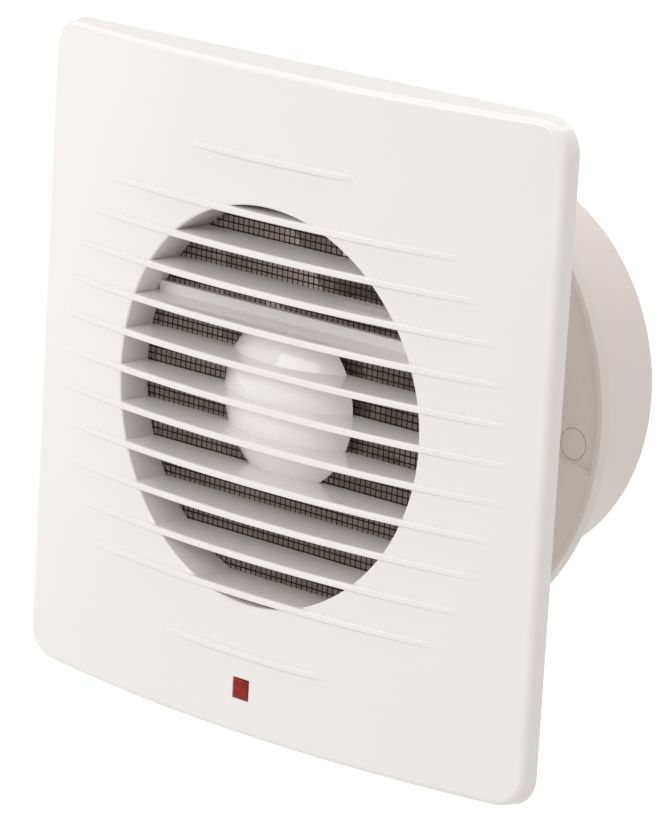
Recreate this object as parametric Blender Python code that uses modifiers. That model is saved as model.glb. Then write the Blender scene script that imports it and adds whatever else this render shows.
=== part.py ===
"""Axial extractor fan for a 100 mm duct, with a square louvred cover and a rear clamp ring.

Lengths are in metres and angles in degrees. The origin is the centre of the bore in the wall
plane; +X is right as seen from the room, +Y goes into the wall and +Z is up. A radius is
measured from the Y axis, and a depth is a Y value.
"""

import math

import bmesh
import bpy
from mathutils import Matrix, Vector

GAP = 0.0003                     # clearance between pieces that touch

# front cover: a moulded tray whose face bulges only from side to side
COVER_HALF_WIDTH = 0.0800
COVER_HALF_HEIGHT = 0.0792
COVER_CORNER_RADIUS = 0.0080
COVER_WALL = 0.0020
COVER_EDGE_DEPTH = 0.0041        # depth of the cover at its left and right edges
COVER_BULGE = 0.0088             # extra depth on the centre line
FACE_HALF_WIDTH = 0.0784
SKIRT_DRAFT = 0.0005
EDGE_RADIUS = 0.0016
OPENING_RADIUS = 0.0470
BORE_WALL = 0.0016
BORE_END = -0.0006               # depth at which the wall round the opening stops
COVER_SIDE_POINTS = 9            # outline points along each straight side
CORNER_POINTS = 2

# louvre blades, whose front edges run on over the face as ribs
RIB_PITCH = 0.00895
RIB_THICKNESS = 0.0017
RIB_HEIGHT = 0.0009
RIB_CIRCLE_RADIUS = 0.0708       # the rib tips lie on this circle
FULL_RIBS = 5                    # above and below the middle one
SHORT_RIB_HEIGHTS = (0.0580, -0.0590)
SHORT_RIB_HALF_LENGTH = 0.0255
BLADE_BACK = -0.0009
BAR_RIB = 2                      # this rib carries an upright bar along its back edge
BAR_HEIGHT = 0.0033

# dome in the middle of the cover
DOME_RADIUS = 0.0203
DOME_BASE = -0.0020
DOME_APEX = -0.0104
DOME_WALL = 0.0016

# pegs that hold the cover, in sockets on the wall plate
PEG_X = 0.062
PEG_Z = 0.050
PEG_RADIUS = 0.0019
SOCKET_RADIUS = 0.0022

# indicator
LENS_HALF = 0.0023
LENS_HEIGHT = -0.0675
LAMP_RADIUS = 0.0022
LAMP_DEPTH = -0.0062
LAMP_HALF_LENGTH = 0.0040

# insect mesh and its frame
MESH_RADIUS = 0.0493
MESH_HALF_THICKNESS = 0.0003
FRAME_RADIUS = 0.0504

# wall plate, and the fan body inside it: recess, duct tube, vanes and motor cup
PLATE_HALF_WIDTH = 0.0755
PLATE_HALF_HEIGHT = 0.0747
PLATE_FRONT = -0.0019
SLOT_CENTRE = 0.0640
SLOT_HALF_LENGTH = 0.0045
SLOT_RADIUS = 0.00225
RECESS_RADIUS = 0.0510
RECESS_WALL = 0.0016
TUBE_RADIUS = 0.0485
TUBE_WALL = 0.0018
TUBE_END = 0.0724
RECESS_FLOOR = 0.0022
CUP_RADIUS = 0.0270
CUP_WALL = 0.0018
CUP_FRONT = 0.0280
CUP_END = 0.0580
VANES = 5
VANE_HALF_THICKNESS = 0.0009

# motor
STACK_FRONT = 0.0360
STACK_BACK = 0.0480
STACK_RADIUS = 0.0246
YOKE_INNER_RADIUS = 0.0205
POLE_FACE_RADIUS = 0.0112
POLE_HALF_WIDTH = 0.0045
ROTOR_RADIUS = 0.0107
SHAFT_RADIUS = 0.0015
SHAFT_BORE = 0.00158
BEARING_RADIUS = 0.0040
BEARING_SEAT = 0.0041
MOTOR_SCREW_OFFSET = 0.0120

# impeller
HUB_RADIUS = 0.0215
BLADE_TIP_RADIUS = 0.0436
IMPELLER_BLADES = 7
IMPELLER_MID = 0.0155            # depth of the blades' middle

# clamp ring, which slides on the tube and grips the far side of the wall or pane
RING_RADIUS = 0.0625
RING_FRONT = 0.0363
RING_FLOOR = 0.0379
RING_BACK = 0.0396
RING_LIP = 0.0016
COLLAR_BORE = 0.0490
COLLAR_RADIUS = 0.0506
COLLAR_END = 0.0470
PAD_START_ANGLES = (-71, 49, 169)
PAD_SPAN = 60

# mains connection under the cover, with places as (x, z)
CABLE_ENTRY = (0.026, 0.062)
ENTRY_RADIUS = 0.0045
CLAMP_X = 0.016
CLAMP_SCREW_Z = (0.0573, 0.0667)
TERMINAL_X = 0.0045              # each terminal lies this far from the middle
TERMINAL_Z = 0.0625

# wiring
LEAD_RADIUS = 0.0006
LEAD_OFFSET = 0.0022             # each motor lead lies this far from the top vane's middle
LAMP_LEAD_RADIUS = 0.0560        # the lamp leads run round the opening at this radius
LEAD_WAY = ((-0.0034, -0.0040, 0.0455), (0.0034, 0.0065, 0.0540))    # corners of the notch


def clear_scene():
    for old in list(bpy.data.objects):
        bpy.data.objects.remove(old, do_unlink=True)


def make_collection(name):
    group = bpy.data.collections.new(name)
    bpy.context.scene.collection.children.link(group)
    return group


def make_material(name, colour, roughness, metallic=0.0):
    mat = bpy.data.materials.new(name)
    mat.use_nodes = True
    shader = mat.node_tree.nodes["Principled BSDF"]
    shader.inputs["Base Color"].default_value = (*colour, 1.0)
    shader.inputs["Roughness"].default_value = roughness
    shader.inputs["Metallic"].default_value = metallic
    return mat


clear_scene()
PARTS = make_collection("extractor_fan")
CUTTERS = make_collection("cutters")

WHITE_ABS = make_material("white_abs", (0.84, 0.83, 0.83), 0.30)
BODY_ABS = make_material("body_abs", (0.66, 0.61, 0.59), 0.40)
GREY_ABS = make_material("grey_abs", (0.24, 0.21, 0.19), 0.50)
WIRE_MESH = make_material("wire_mesh", (0.03, 0.025, 0.02), 0.60)
RED_LENS = make_material("red_lens", (0.35, 0.02, 0.03), 0.15)
LAMP_GLASS = make_material("lamp_glass", (0.80, 0.70, 0.60), 0.05)
STEEL = make_material("steel", (0.55, 0.55, 0.56), 0.30, 1.0)
LAMINATION = make_material("lamination", (0.30, 0.30, 0.32), 0.50, 1.0)
COPPER = make_material("copper", (0.55, 0.20, 0.08), 0.35, 1.0)
BRONZE = make_material("bronze", (0.45, 0.28, 0.12), 0.45, 1.0)
TERMINAL_NYLON = make_material("terminal_nylon", (0.75, 0.73, 0.68), 0.50)
BLACK_RUBBER = make_material("black_rubber", (0.03, 0.03, 0.03), 0.70)
BROWN_PVC = make_material("brown_pvc", (0.18, 0.07, 0.03), 0.50)
BLUE_PVC = make_material("blue_pvc", (0.04, 0.12, 0.40), 0.50)


# ---- modelling helpers ----

def add_object(name, mesh, mat=None):
    """A piece goes with the parts; a shape with no material is only a cutter or an operand."""
    obj = bpy.data.objects.new(name, mesh)
    if mat is None:
        CUTTERS.objects.link(obj)
        obj.hide_render = True
        obj.display_type = "WIRE"
    else:
        PARTS.objects.link(obj)
        mesh.materials.append(mat)
    return obj


def finish_mesh(name, bm, mat=None):
    mesh = bpy.data.meshes.new(name)
    bm.to_mesh(mesh)
    bm.free()
    return add_object(name, mesh, mat)


def smooth_round(obj):
    obj.data.shade_smooth()
    obj.data.set_sharp_from_angle(angle=math.radians(35))


def on_circle(radius, angle, depth=0.0):
    """A point at an angle from +X towards +Z."""
    turn = math.radians(angle)
    return Vector((radius * math.cos(turn), depth, radius * math.sin(turn)))


def turned(name, profile, steps, mat=None, centre=(0.0, 0.0)):
    """Revolves a profile of (radius, depth) points about a line along Y through (x, z).

    The points run clockwise, seen with the radius to the right and the depth upwards. A
    profile that starts and ends on the axis stays open there.
    """
    bm = bmesh.new()
    points = [bm.verts.new((radius, 0.0, depth)) for radius, depth in profile]
    closed = profile[0][0] > 0.0
    for i in range(len(points) - (0 if closed else 1)):
        bm.edges.new((points[i], points[(i + 1) % len(points)]))
    obj = finish_mesh(name, bm, mat)
    obj.location = (centre[0], 0.0, centre[1])
    obj.rotation_euler = (math.radians(-90), 0.0, 0.0)
    screw = obj.modifiers.new("turn", "SCREW")
    screw.steps = steps
    screw.render_steps = steps
    screw.use_merge_vertices = True
    screw.merge_threshold = 0.00001
    return obj


def boxes(name, corners, mat=None, turns=(0.0,)):
    """Boxes from (low, high) corners, each repeated at every turn about the Y axis."""
    bm = bmesh.new()
    for turn in turns:
        spin = Matrix.Rotation(math.radians(-turn), 4, "Y")
        for low, high in corners:
            low, high = Vector(low), Vector(high)
            size = Matrix.Diagonal((*(high - low), 1.0))
            place = Matrix.Translation((low + high) / 2)
            bmesh.ops.create_cube(bm, size=1.0, matrix=spin @ place @ size)
    return finish_mesh(name, bm, mat)


def rods(name, spans, segments, mat=None):
    """Cylinders along Y from (x, z, radius, front, back)."""
    bm = bmesh.new()
    for x, z, radius, front, back in spans:
        place = Matrix.Translation((x, (front + back) / 2, z)) @ Matrix.Rotation(
            math.radians(-90), 4, "X")
        bmesh.ops.create_cone(bm, cap_ends=True, segments=segments, radius1=radius,
                              radius2=radius, depth=back - front, matrix=place)
    return finish_mesh(name, bm, mat)


def filled(name, outlines, low, high, along="Y", mat=None):
    """A flat outline with holes, extruded along Y (points are x, z) or Z (points are x, y)."""
    curve = bpy.data.curves.new(name, "CURVE")
    curve.dimensions = "2D"
    curve.fill_mode = "BOTH"
    curve.extrude = (high - low) / 2
    for outline in outlines:
        spline = curve.splines.new("POLY")
        spline.points.add(len(outline) - 1)
        spline.use_cyclic_u = True
        for point, (u, v) in zip(spline.points, outline):
            point.co = (u, -v if along == "Y" else v, 0.0, 1.0)
    return mesh_from_curve(name, curve, (low + high) / 2, along, mat)


def mesh_from_curve(name, curve, offset, along, mat):
    guide = bpy.data.objects.new(name + "_curve", curve)
    CUTTERS.objects.link(guide)
    if along == "Y":
        guide.location = (0.0, offset, 0.0)
        guide.rotation_euler = (math.radians(-90), 0.0, 0.0)
    else:
        guide.location = (0.0, 0.0, offset)
    bpy.context.view_layer.update()
    view = guide.evaluated_get(bpy.context.evaluated_depsgraph_get())
    mesh = bpy.data.meshes.new_from_object(view)
    bm = bmesh.new()
    bm.from_mesh(mesh)
    bmesh.ops.remove_doubles(bm, verts=bm.verts, dist=0.000001)
    bmesh.ops.recalc_face_normals(bm, faces=bm.faces)
    bm.to_mesh(mesh)
    bm.free()
    mesh.name = name
    obj = add_object(name, mesh, mat)
    obj.matrix_world = guide.matrix_world.copy()
    bpy.data.objects.remove(guide, do_unlink=True)
    return obj


def combine(target, other, operation):
    step = target.modifiers.new(other.name, "BOOLEAN")
    step.operation = operation
    step.solver = "EXACT"
    step.object = other


def smooth_route(points, steps):
    """Points along a Catmull-Rom curve through the given ones."""
    ends = [points[0]] + list(points) + [points[-1]]
    ends = [Vector(p) for p in ends]
    route = []
    for a, b, c, d in zip(ends, ends[1:], ends[2:], ends[3:]):
        for i in range(steps):
            t = i / steps
            route.append(0.5 * (2 * b + (c - a) * t + (2 * a - 5 * b + 4 * c - d) * t ** 2
                                + (3 * b - a - 3 * c + d) * t ** 3))
    route.append(ends[-1])
    return route


def lead(name, points, mat, steps=3):
    curve = bpy.data.curves.new(name, "CURVE")
    curve.dimensions = "3D"
    curve.bevel_depth = LEAD_RADIUS
    curve.bevel_resolution = 2
    curve.use_fill_caps = True
    route = smooth_route(points, steps)
    spline = curve.splines.new("POLY")
    spline.points.add(len(route) - 1)
    for point, place in zip(spline.points, route):
        point.co = (*place, 1.0)
    obj = bpy.data.objects.new(name, curve)
    PARTS.objects.link(obj)
    curve.materials.append(mat)
    return obj


def cover_depth(x):
    """How far the cover's face stands in front of the wall at x."""
    return COVER_EDGE_DEPTH + COVER_BULGE * (1.0 - (x / FACE_HALF_WIDTH) ** 2)


def square_outline(half_width, half_height, corner, side_points=1):
    """Points (x, z) of a rounded rectangle, counter-clockwise from the right side."""
    points = []
    for quarter in range(4):
        turn = math.radians(90 * quarter)
        across, along = half_width, half_height
        if quarter % 2:
            across, along = along, across
        reach = math.atan2(along - corner, across)
        for i in range(side_points):
            angle = reach * (2 * i / side_points - 1)
            points.append((turn, across, across * math.tan(angle)))
        for i in range(CORNER_POINTS):
            bend = math.radians(90 * i / CORNER_POINTS)
            points.append((turn, across - corner * (1 - math.cos(bend)),
                           along - corner * (1 - math.sin(bend))))
    return [(u * math.cos(t) - v * math.sin(t), u * math.sin(t) + v * math.cos(t))
            for t, u, v in points]


# ---- front cover ----

def cover_shell():
    """Lofts the tray through closed rings, from the rounded square rim to the round opening."""
    outline = square_outline(COVER_HALF_WIDTH, COVER_HALF_HEIGHT, COVER_CORNER_RADIUS,
                             COVER_SIDE_POINTS)
    angles = [math.atan2(z, x) for x, z in outline]

    def inset(amount, depth):
        """The outline moved inwards; depth gives Y from the x of each point."""
        ring = square_outline(COVER_HALF_WIDTH - amount, COVER_HALF_HEIGHT - amount,
                              COVER_CORNER_RADIUS - amount, COVER_SIDE_POINTS)
        return [(x, depth(x), z) for x, z in ring]

    def circle(radius, depth):
        ring = [(radius * math.cos(a), radius * math.sin(a)) for a in angles]
        return [(x, depth(x), z) for x, z in ring]

    def between(outer, inner, share, depth):
        ring = []
        for a, b in zip(outer, inner):
            x = a[0] + (b[0] - a[0]) * share
            ring.append((x, depth(x), a[2] + (b[2] - a[2]) * share))
        return ring

    def outer_face(x):
        return -cover_depth(x)

    def inner_face(x):
        return COVER_WALL - cover_depth(x)

    rings = [inset(0.0, lambda x: 0.0),
             inset(SKIRT_DRAFT, lambda x: EDGE_RADIUS - cover_depth(x))]
    for bend in (45, 90):
        turn = math.radians(bend)
        drop = EDGE_RADIUS * (1 - math.sin(turn))
        rings.append(inset(SKIRT_DRAFT + EDGE_RADIUS * (1 - math.cos(turn)),
                           lambda x, d=drop: d - cover_depth(x)))
    lip = circle(OPENING_RADIUS + 0.0005, outer_face)
    edge = rings[-1]
    rings += [between(edge, lip, share, outer_face) for share in (0.33, 0.67)]
    rings += [lip,
              circle(OPENING_RADIUS, lambda x: 0.0005 - cover_depth(x)),
              circle(OPENING_RADIUS, lambda x: BORE_END),
              circle(OPENING_RADIUS + BORE_WALL, lambda x: BORE_END)]
    root = circle(OPENING_RADIUS + BORE_WALL, inner_face)
    corner = inset(COVER_WALL, inner_face)
    rings += [between(root, corner, share, inner_face) for share in (0.0, 0.5)]
    rings += [corner, inset(COVER_WALL, lambda x: 0.0)]

    bm = bmesh.new()
    loops = [[bm.verts.new(point) for point in ring] for ring in rings]
    count = len(outline)
    for this, following in zip(loops, loops[1:] + loops[:1]):
        for i in range(count):
            j = (i + 1) % count
            bm.faces.new((this[i], following[i], following[j], this[j]))
    bmesh.ops.recalc_face_normals(bm, faces=bm.faces)
    return finish_mesh("front_cover", bm, WHITE_ABS)


def spread(start, end, steps):
    return [start + (end - start) * i / steps for i in range(steps + 1)]


def rib_outline(half_length, height):
    """Plan (x, y) of a rib, and of the louvre blade behind it where it spans the opening."""
    def crest(x):
        return -cover_depth(x) - RIB_HEIGHT * (1 - (x / half_length) ** 4)

    def root(x):
        return 0.6 * COVER_WALL - cover_depth(x)

    outline = [(x, crest(x)) for x in spread(-half_length, half_length, 12)]
    middle_wall = OPENING_RADIUS + BORE_WALL / 2
    if abs(height) > middle_wall:
        return outline + [(x, root(x)) for x in spread(half_length, -half_length, 4)]
    reach = math.sqrt(middle_wall ** 2 - height ** 2)
    outline += [(x, root(x)) for x in spread(half_length, reach, 2)]
    outline += [(reach, BLADE_BACK), (-reach, BLADE_BACK)]
    return outline + [(x, root(x)) for x in spread(-reach, -half_length, 2)]


def ribs():
    plans = []
    for row in range(-FULL_RIBS, FULL_RIBS + 1):
        height = row * RIB_PITCH
        half_length = math.sqrt(RIB_CIRCLE_RADIUS ** 2 - height ** 2)
        plans.append((height, rib_outline(half_length, height)))
    for height in SHORT_RIB_HEIGHTS:
        plans.append((height, rib_outline(SHORT_RIB_HALF_LENGTH, height)))
    made = []
    for number, (height, plan) in enumerate(plans):
        made.append(filled(f"rib_{number}", [plan], height - RIB_THICKNESS / 2,
                           height + RIB_THICKNESS / 2, along="Z"))
    return merged("ribs", made)


def merged(name, objects):
    """One operand from several shapes that stand clear of each other."""
    bm = bmesh.new()
    for obj in objects:
        mesh = obj.data
        mesh.transform(obj.matrix_world)
        bm.from_mesh(mesh)
        bpy.data.objects.remove(obj, do_unlink=True)
    return finish_mesh(name, bm)


def dome_profile(radius, base, apex, steps=5):
    """A spherical cap from its apex on the axis down to its rim."""
    rise = base - apex
    sphere = (radius ** 2 + rise ** 2) / (2 * rise)
    widest = math.asin(radius / sphere)
    centre = apex + sphere
    return [(sphere * math.sin(widest * i / steps), centre - sphere * math.cos(widest * i / steps))
            for i in range(steps + 1)]


def build_front_cover():
    cover = cover_shell()
    combine(cover, ribs(), "UNION")

    bar_low = BAR_RIB * RIB_PITCH
    bar_reach = math.sqrt(OPENING_RADIUS ** 2 - (bar_low + BAR_HEIGHT) ** 2) + 0.0004
    bar = boxes("blade_bar", [((-bar_reach, BLADE_BACK - 0.0018, bar_low),
                               (bar_reach, BLADE_BACK - 0.0001, bar_low + BAR_HEIGHT))])
    combine(cover, bar, "UNION")

    cap = dome_profile(DOME_RADIUS, DOME_BASE, DOME_APEX)
    dome = turned("dome", [(0.0, DOME_BASE)] + cap[::-1], 28)
    combine(cover, dome, "UNION")
    hollow = dome_profile(DOME_RADIUS - DOME_WALL, DOME_BASE, DOME_APEX + DOME_WALL)
    cavity = turned("dome_cavity", [(0.0, 0.001), (hollow[-1][0], 0.001)] + hollow[::-1], 28)
    combine(cover, cavity, "DIFFERENCE")

    peg_root = 0.001 - cover_depth(PEG_X)
    pegs = rods("cover_pegs", [(x, z, PEG_RADIUS, peg_root, -0.0004)
                               for x in (-PEG_X, PEG_X) for z in (-PEG_Z, PEG_Z)], 12)
    combine(cover, pegs, "UNION")

    half = LENS_HALF + GAP
    window = boxes("lens_window", [((-half, -0.020, LENS_HEIGHT - half),
                                    (half, -0.008, LENS_HEIGHT + half))])
    combine(cover, window, "DIFFERENCE")


def build_indicator():
    front = -cover_depth(0.0)
    lens = boxes("indicator_lens", [((-LENS_HALF, front, LENS_HEIGHT - LENS_HALF),
                                     (LENS_HALF, front + 0.0028, LENS_HEIGHT + LENS_HALF))],
                 RED_LENS)
    flange_front = front + COVER_WALL + GAP
    flange = 0.0034
    combine(lens, boxes("lens_flange", [((-flange, flange_front, LENS_HEIGHT - flange),
                                         (flange, flange_front + 0.0010, LENS_HEIGHT + flange))]),
            "UNION")
    bm = bmesh.new()
    place = Matrix.Translation((0.0, LAMP_DEPTH, LENS_HEIGHT)) @ Matrix.Rotation(
        math.radians(90), 4, "Y")
    bmesh.ops.create_cone(bm, cap_ends=True, segments=16, radius1=LAMP_RADIUS,
                          radius2=LAMP_RADIUS, depth=2 * LAMP_HALF_LENGTH, matrix=place)
    lamp = finish_mesh("neon_lamp", bm, LAMP_GLASS)
    bevel = lamp.modifiers.new("rounded_ends", "BEVEL")
    bevel.width = 0.0009
    bevel.segments = 2
    bevel.limit_method = "ANGLE"
    bevel.angle_limit = math.radians(60)


def build_insect_mesh():
    rods("insect_mesh", [(0.0, 0.0, MESH_RADIUS, -MESH_HALF_THICKNESS, MESH_HALF_THICKNESS)],
         48, WIRE_MESH)
    inner = OPENING_RADIUS + 0.0002
    seat = 2 * MESH_HALF_THICKNESS
    turned("mesh_frame", [(inner, 0.00155), (FRAME_RADIUS, 0.00155), (FRAME_RADIUS, -0.0005),
                          (MESH_RADIUS + GAP, -0.0005), (MESH_RADIUS + GAP, seat),
                          (inner, seat)], 36, WHITE_ABS)


# ---- wall plate and fan body ----

def stadium(x, z, half_length, radius, steps=4):
    """A vertical slot with round ends."""
    points = []
    for end, start in ((1, 0), (-1, 180)):
        for i in range(steps + 1):
            p = on_circle(radius, start + 180 * i / steps)
            points.append((x + p.x, z + end * (half_length - radius) + p.z))
    return points


def circle_points(radius, steps, centre=(0.0, 0.0)):
    places = [on_circle(radius, 360 * i / steps) for i in range(steps)]
    return [(centre[0] + p.x, centre[1] + p.z) for p in places]


def build_wall_plate():
    outline = square_outline(PLATE_HALF_WIDTH, PLATE_HALF_HEIGHT, 0.005)
    rim = RECESS_RADIUS + RECESS_WALL + GAP
    holes = [circle_points(rim, 48), circle_points(ENTRY_RADIUS, 16, CABLE_ENTRY)]
    for x in (-SLOT_CENTRE, SLOT_CENTRE):
        for z in (-SLOT_CENTRE, SLOT_CENTRE):
            holes.append(stadium(x, z, SLOT_HALF_LENGTH, SLOT_RADIUS))
    plate = filled("wall_plate", [outline] + holes, PLATE_FRONT, 0.0, mat=BODY_ABS)

    bosses = [(x, z, 0.0036, PLATE_FRONT - 0.0015, PLATE_FRONT + 0.0010)
              for x in (-PEG_X, PEG_X) for z in (-PEG_Z, PEG_Z)]
    bosses += [(CLAMP_X, z, 0.0022, PLATE_FRONT - 0.0022, PLATE_FRONT + 0.0010)
               for z in CLAMP_SCREW_Z]
    combine(plate, rods("plate_bosses", bosses, 12), "UNION")

    holder = [((x - 0.0009, -0.0037, LENS_HEIGHT - 0.002), (x + 0.0009, -0.0010,
                                                            LENS_HEIGHT + 0.002))
              for x in (-0.0025, 0.0025)]
    combine(plate, boxes("lamp_rests", holder), "UNION")

    drills = [(x, z, SOCKET_RADIUS, -0.0040, 0.0010)
              for x in (-PEG_X, PEG_X) for z in (-PEG_Z, PEG_Z)]
    drills += [(CLAMP_X, z, 0.0015, -0.0045, -0.0015) for z in CLAMP_SCREW_Z]
    combine(plate, rods("plate_drills", drills, 10), "DIFFERENCE")
    combine(plate, boxes("plate_lead_way", [LEAD_WAY]), "DIFFERENCE")


def build_fan_body():
    inner = TUBE_RADIUS - TUBE_WALL
    outer_recess = RECESS_RADIUS + RECESS_WALL
    floor_back = RECESS_FLOOR + 0.0014
    body = turned("fan_body", [(inner, TUBE_END), (TUBE_RADIUS, TUBE_END),
                               (TUBE_RADIUS, floor_back), (outer_recess, floor_back),
                               (outer_recess, -0.0026), (RECESS_RADIUS, -0.0026),
                               (RECESS_RADIUS, RECESS_FLOOR), (inner, RECESS_FLOOR)], 48,
                  BODY_ABS)

    cup_inner = CUP_RADIUS - CUP_WALL
    wall_back = CUP_FRONT + CUP_WALL
    ledge = STACK_FRONT - GAP
    cup = turned("motor_cup", [(cup_inner, CUP_END), (CUP_RADIUS, CUP_END),
                               (CUP_RADIUS, CUP_FRONT), (BEARING_SEAT, CUP_FRONT),
                               (BEARING_SEAT, 0.0334), (0.0065, 0.0334), (0.0065, wall_back),
                               (0.0212, wall_back), (0.0212, ledge), (cup_inner, ledge)], 32)
    combine(body, cup, "UNION")

    vane = ((CUP_RADIUS - 0.0008, 0.034, -VANE_HALF_THICKNESS),
            (inner + 0.0009, 0.054, VANE_HALF_THICKNESS))
    combine(body, boxes("vanes", [vane], turns=[90 + 360 * i / VANES for i in range(VANES)]),
            "UNION")

    places = [side * MOTOR_SCREW_OFFSET for side in (-1, 1)]
    combine(body, rods("motor_bosses", [(p, p, 0.0032, CUP_FRONT + 0.001, 0.0350)
                                        for p in places], 12), "UNION")
    combine(body, rods("motor_drills", [(p, p, 0.0018, 0.0300, 0.0360) for p in places], 10),
            "DIFFERENCE")

    lead_hole = 0.0034
    combine(body, boxes("lead_ways", [LEAD_WAY,
                                      ((-lead_hole, 0.0488, 0.0240), (-0.0012, 0.0512, 0.0290)),
                                      ((0.0012, 0.0488, 0.0240), (lead_hole, 0.0512, 0.0290))]),
            "DIFFERENCE")


# ---- clamp ring ----

def arc_pad(start, span, low_radius, high_radius, steps=8):
    angles = [start + span * i / steps for i in range(steps + 1)]
    outer = [on_circle(high_radius, a) for a in angles]
    inner = [on_circle(low_radius, a) for a in reversed(angles)]
    return [(p.x, p.z) for p in outer + inner]


def build_clamp_ring():
    lip = RING_RADIUS - RING_LIP
    ring = turned("clamp_ring", [(lip, RING_FRONT), (lip, RING_FLOOR), (COLLAR_BORE, RING_FLOOR),
                                 (COLLAR_BORE, COLLAR_END), (COLLAR_RADIUS, COLLAR_END),
                                 (COLLAR_RADIUS, RING_BACK), (RING_RADIUS, RING_BACK),
                                 (RING_RADIUS, RING_FRONT)], 48, WHITE_ABS)
    pads = [filled(f"pad_{start}", [arc_pad(start, PAD_SPAN, COLLAR_BORE + 0.0004, 0.0592)],
                   RING_FLOOR - 0.0007, RING_FLOOR + 0.0005) for start in PAD_START_ANGLES]
    combine(ring, merged("ring_pads", pads), "UNION")
    slit = ((COLLAR_BORE - 0.001, RING_BACK + 0.0016, -0.0008),
            (COLLAR_RADIUS + 0.001, COLLAR_END + 0.001, 0.0008))
    combine(ring, boxes("collar_slits", [slit], turns=[30 + 60 * i for i in range(6)]),
            "DIFFERENCE")


# ---- impeller ----

def blade_sheet(bm, turn):
    """One twisted blade: steep at the hub, flatter and wider at the tip."""
    spans, chords = 3, 4
    root = HUB_RADIUS - 0.0009
    grid = []
    for i in range(spans + 1):
        share = i / spans
        radius = root + (BLADE_TIP_RADIUS - root) * share
        rise = 0.0170 - 0.0050 * share
        sweep = 38 + 2 * share
        row = []
        for j in range(chords + 1):
            along = j / chords - 0.5
            camber = 0.0012 * (1 - 4 * along ** 2)
            row.append(bm.verts.new(on_circle(radius, turn + sweep * along,
                                              IMPELLER_MID + rise * along + camber)))
        grid.append(row)
    for i in range(spans):
        for j in range(chords):
            bm.faces.new((grid[i][j], grid[i + 1][j], grid[i + 1][j + 1], grid[i][j + 1]))


def build_impeller():
    front, back, wall = 0.0050, 0.0260, 0.0017
    hub = turned("impeller", [(HUB_RADIUS - wall, back), (HUB_RADIUS, back), (HUB_RADIUS, 0.0070),
                              (HUB_RADIUS - 0.0020, front), (SHAFT_BORE, front),
                              (SHAFT_BORE, 0.0220), (0.0045, 0.0220), (0.0045, front + 0.0018),
                              (HUB_RADIUS - wall, front + 0.0018)], 28, GREY_ABS)
    bm = bmesh.new()
    for i in range(IMPELLER_BLADES):
        blade_sheet(bm, 360 * i / IMPELLER_BLADES)
    bmesh.ops.recalc_face_normals(bm, faces=bm.faces)
    blades = finish_mesh("impeller_blades", bm)
    solid = blades.modifiers.new("thickness", "SOLIDIFY")
    solid.thickness = 0.0015
    solid.offset = 0.0
    combine(hub, blades, "UNION")
    turned("impeller_clip", [(SHAFT_BORE, 0.0046), (0.0032, 0.0046), (0.0032, 0.0040),
                             (SHAFT_BORE, 0.0040)], 24, STEEL)


# ---- motor ----

def stator_window():
    """The opening inside the laminations: pole shoes, pole necks and the yoke's inner circle."""
    points = []
    shoe = 33
    for pole in range(4):
        middle = 90 * pole
        neck_angle = math.degrees(math.asin(POLE_HALF_WIDTH / 0.0133))
        yoke_angle = math.degrees(math.asin(POLE_HALF_WIDTH / YOKE_INNER_RADIUS))
        points.append((YOKE_INNER_RADIUS, middle - yoke_angle))
        points.append((0.0133, middle - neck_angle))
        points.append((0.0130, middle - shoe))
        points += [(POLE_FACE_RADIUS, middle - shoe + 2 * shoe * i / 6) for i in range(7)]
        points.append((0.0130, middle + shoe))
        points.append((0.0133, middle + neck_angle))
        gap = 90 - 2 * yoke_angle
        points += [(YOKE_INNER_RADIUS, middle + yoke_angle + gap * i / 6) for i in range(6)]
    places = [on_circle(radius, angle) for radius, angle in points]
    return [(p.x, p.z) for p in places]


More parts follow.
